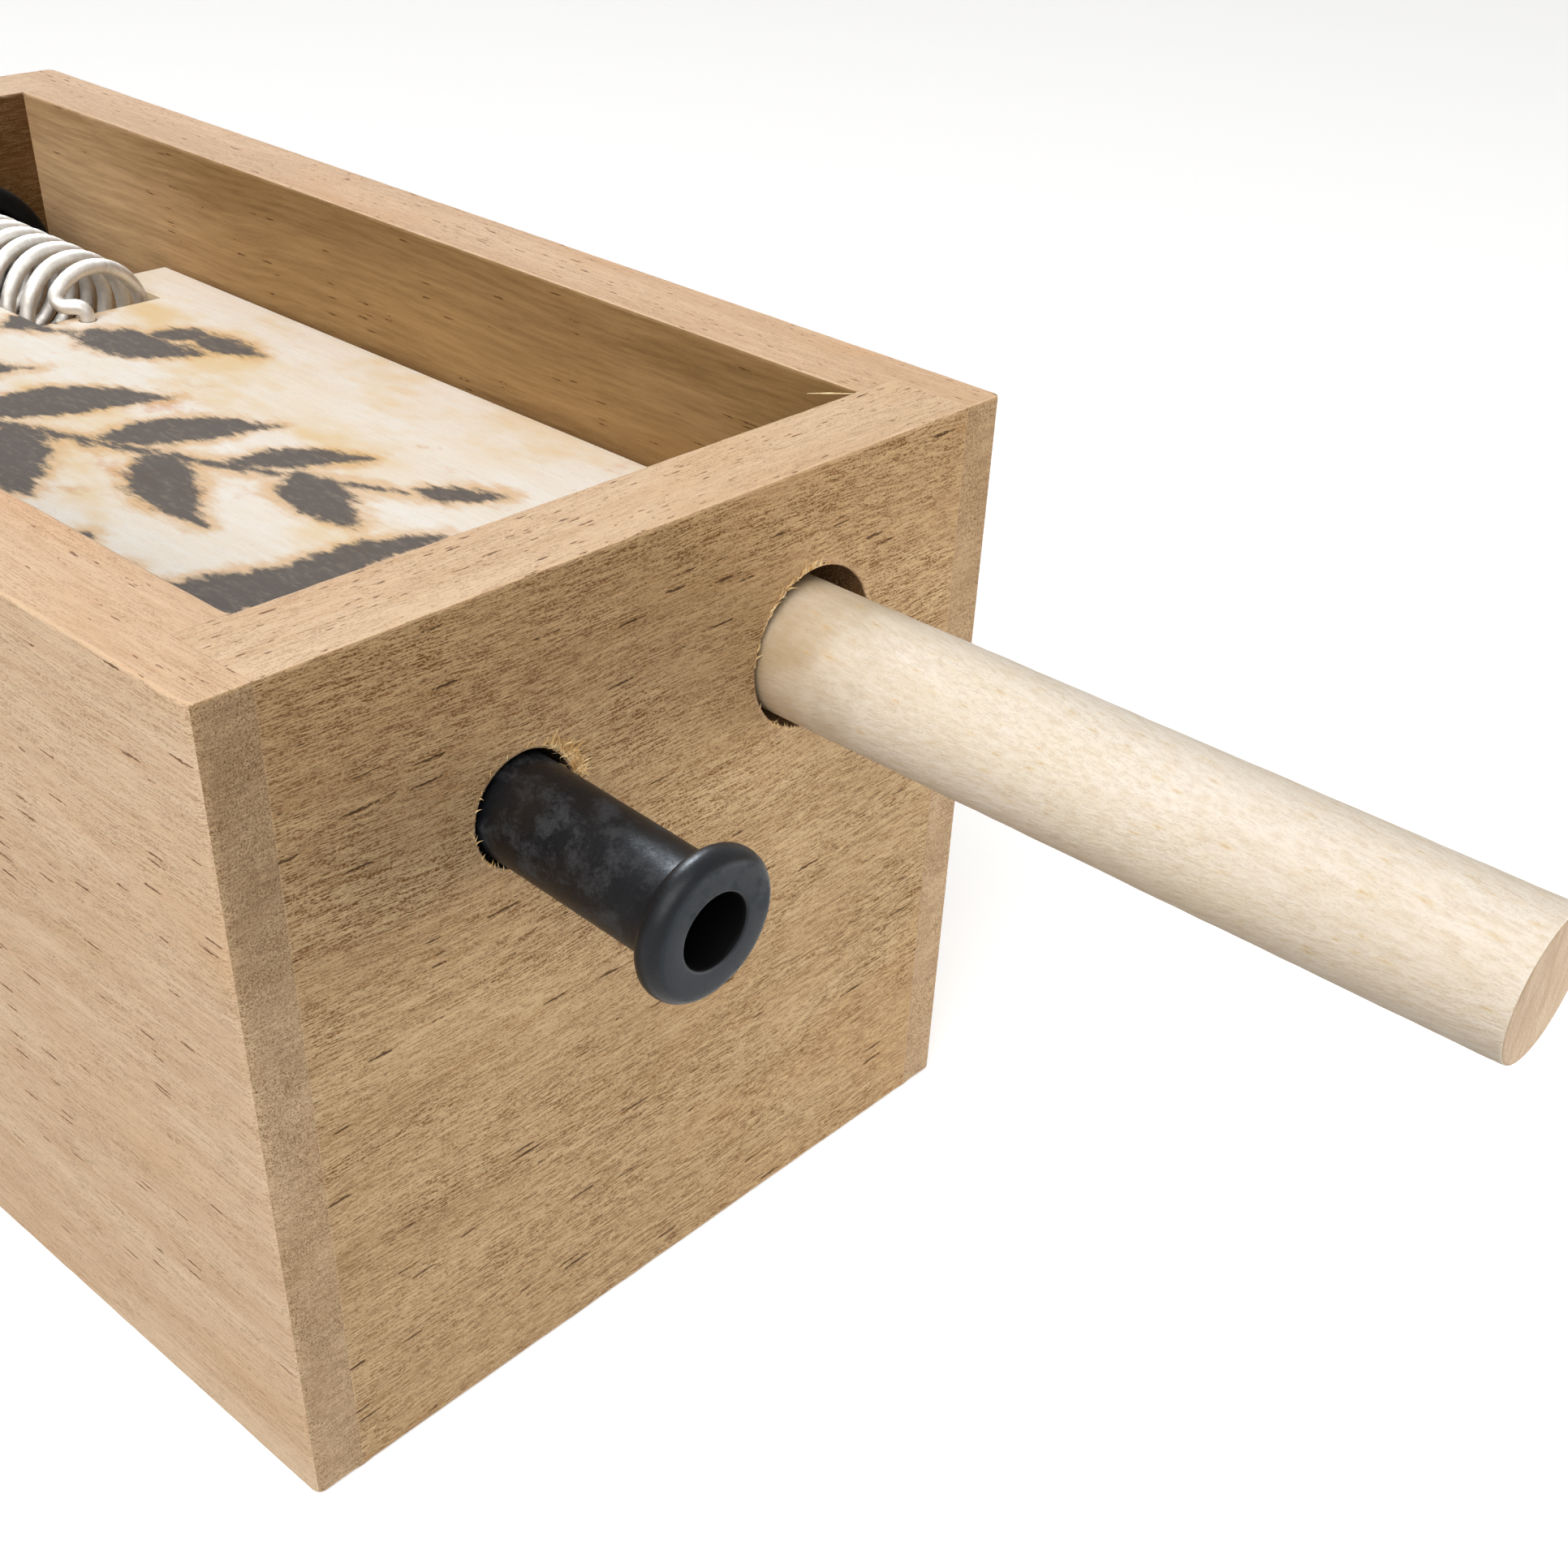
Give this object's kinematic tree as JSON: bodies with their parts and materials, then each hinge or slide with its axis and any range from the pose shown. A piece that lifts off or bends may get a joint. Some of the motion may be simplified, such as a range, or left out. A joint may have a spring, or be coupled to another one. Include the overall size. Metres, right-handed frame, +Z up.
{
  "type": "spring plunger toy box",
  "caption": "Open wooden box with a sliding board pushed in against a coil spring by a long dowel and released by a hollow push button",
  "frame": {"origin": "middle of the box's underside, on the surface that the box stands on", "axes": "+X along the box towards the dowel's free end, +Y across the box, +Z up through its open top"},
  "size_m": [0.186, 0.07, 0.064],
  "materials": {
    "panel_wood": "bare sawn tan hardwood with open pores, edges lightly sanded",
    "rail_wood": "bare planed hardwood strip",
    "board_wood": "bare cream softwood with a scorched and printed face",
    "dowel_wood": "bare turned birch",
    "lever_wood": "bare beech",
    "steel": "bright zinc-plated",
    "spring_steel": "bright drawn wire",
    "cup_plastic": "black moulded, matt",
    "button_plastic": "black satin, dusty from rubbing in its hole"
  },
  "bodies": {
    "box": {"side_panel_left": "panel_wood", "side_panel_right": "panel_wood", "end_panel_front": "panel_wood", "end_panel_back": "panel_wood", "bottom_panel": "panel_wood", "rail_left": "rail_wood", "rail_right": "rail_wood", "main_spring": "spring_steel", "spring_cup": "cup_plastic", "cup_screw": "steel", "latch_pin": "steel", "latch_bracket": "rail_wood", "bracket_screws": "steel", "latch_spring": "spring_steel"},
    "slide": {"slide_board": "board_wood", "push_rod": "dowel_wood", "rod_brads": "steel"},
    "button": {"release_button": "button_plastic", "button_ring": "steel"},
    "latch": {"latch_lever": "lever_wood"}
  },
  "joints": [
    {"name": "rod_push", "type": "slide", "parent": "box", "child": "slide", "axis": [-1, 0, 0], "range_m": [0, 0.013], "stiffness_N_per_m": 250, "springref_m": -0.004, "deforming": ["main_spring"]},
    {"name": "button_press", "type": "slide", "parent": "box", "child": "button", "axis": [-0.9983, 0, 0.0576], "range_m": [0, 0.008], "stiffness_N_per_m": 120, "springref_m": -0.003, "deforming": ["latch_spring"]},
    {"name": "latch_tilt", "type": "hinge", "parent": "box", "child": "latch", "pos_m": [0.0465, -0.0125, 0.03], "axis": [0, -1, 0], "range_deg": [0, 25.5]}
  ],
  "couplings": [
    {"joint": "latch_tilt", "follows": "button_press", "rad_per_m": 54.5}
  ]
}
